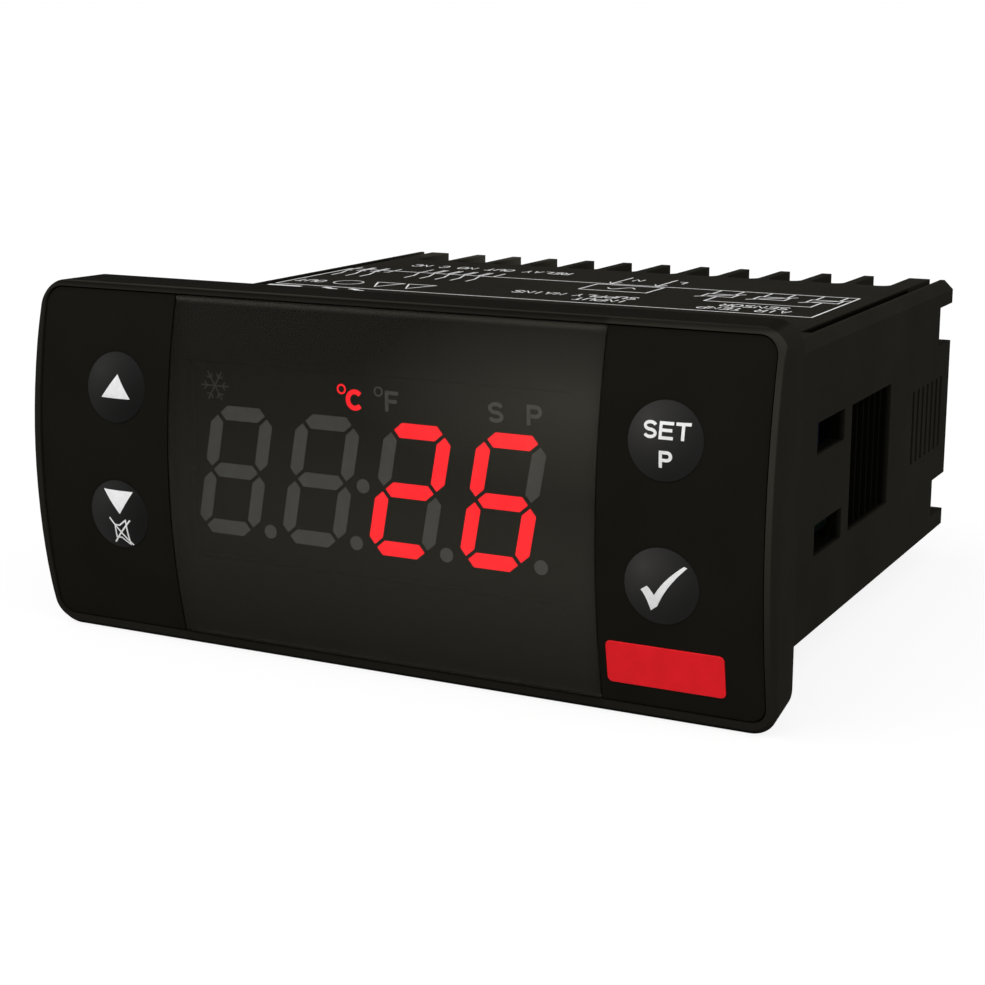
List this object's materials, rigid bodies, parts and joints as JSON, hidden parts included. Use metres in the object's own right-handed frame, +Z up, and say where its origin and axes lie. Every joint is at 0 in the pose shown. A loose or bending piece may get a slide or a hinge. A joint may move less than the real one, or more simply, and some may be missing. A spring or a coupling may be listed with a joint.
{
  "type": "panel temperature controller",
  "caption": "Flush-panel on-off temperature controller: arched front with smoked digit window and domed keys, vented sleeve case with clamp rails, comb and screw terminals behind.",
  "frame": {"origin": "middle of the bezel's rear face, where it meets the panel's front", "axes": "+X to the right seen from the front, +Y back through the panel, +Z up"},
  "size_m": [0.0784, 0.0719, 0.0356],
  "materials": {
    "moulded_black": "fine-textured black moulding",
    "key_panel": "matt black",
    "smoked_window": "smoked clear, polished",
    "key_rubber": "satin dark grey",
    "display_housing": "matt black",
    "lit_segment": "red, shining",
    "unlit_segment": "diffusing grey",
    "circuit_board": "green solder mask",
    "component_black": "moulded black",
    "relay_blue": "moulded dark blue",
    "capacitor_sleeve": "shrink sleeve",
    "varistor_coat": "epoxy coat",
    "terminal_plastic": "moulded black",
    "plated_steel": "zinc plated",
    "plated_brass": "nickel plated",
    "plunger_plastic": "natural white"
  },
  "bodies": {
    "housing": {"front_bezel": "moulded_black", "case": "moulded_black", "left_key_panel": "key_panel", "right_key_panel": "key_panel", "display_window": "smoked_window", "led_display": "display_housing", "display_segments_lit": "lit_segment", "display_segments_unlit": "unlit_segment", "display_board": "circuit_board", "main_board": "circuit_board", "board_header": "component_black", "microcontroller": "component_black", "transformer": "component_black", "buzzer": "component_black", "fuse": "component_black", "relay": "relay_blue", "filter_capacitor": "capacitor_sleeve", "varistor": "varistor_coat", "terminal_block": "terminal_plastic", "terminal_screws": "plated_steel", "wire_clamps": "plated_brass", "up_switch": "component_black", "down_switch": "component_black", "set_switch": "component_black", "confirm_switch": "component_black"},
    "up_key": {"up_button": "key_rubber", "up_plunger": "plunger_plastic"},
    "down_key": {"down_button": "key_rubber", "down_plunger": "plunger_plastic"},
    "set_key": {"set_button": "key_rubber", "set_plunger": "plunger_plastic"},
    "confirm_key": {"confirm_button": "key_rubber", "confirm_plunger": "plunger_plastic"}
  },
  "joints": [
    {"name": "up_press", "type": "slide", "parent": "housing", "child": "up_key", "axis": [0, 1, 0], "range_m": [0, 0.0005], "stiffness_N_per_m": 3000},
    {"name": "down_press", "type": "slide", "parent": "housing", "child": "down_key", "axis": [0, 1, 0], "range_m": [0, 0.0005], "stiffness_N_per_m": 3000},
    {"name": "set_press", "type": "slide", "parent": "housing", "child": "set_key", "axis": [0, 1, 0], "range_m": [0, 0.0005], "stiffness_N_per_m": 3000},
    {"name": "confirm_press", "type": "slide", "parent": "housing", "child": "confirm_key", "axis": [0, 1, 0], "range_m": [0, 0.0005], "stiffness_N_per_m": 3000}
  ]
}
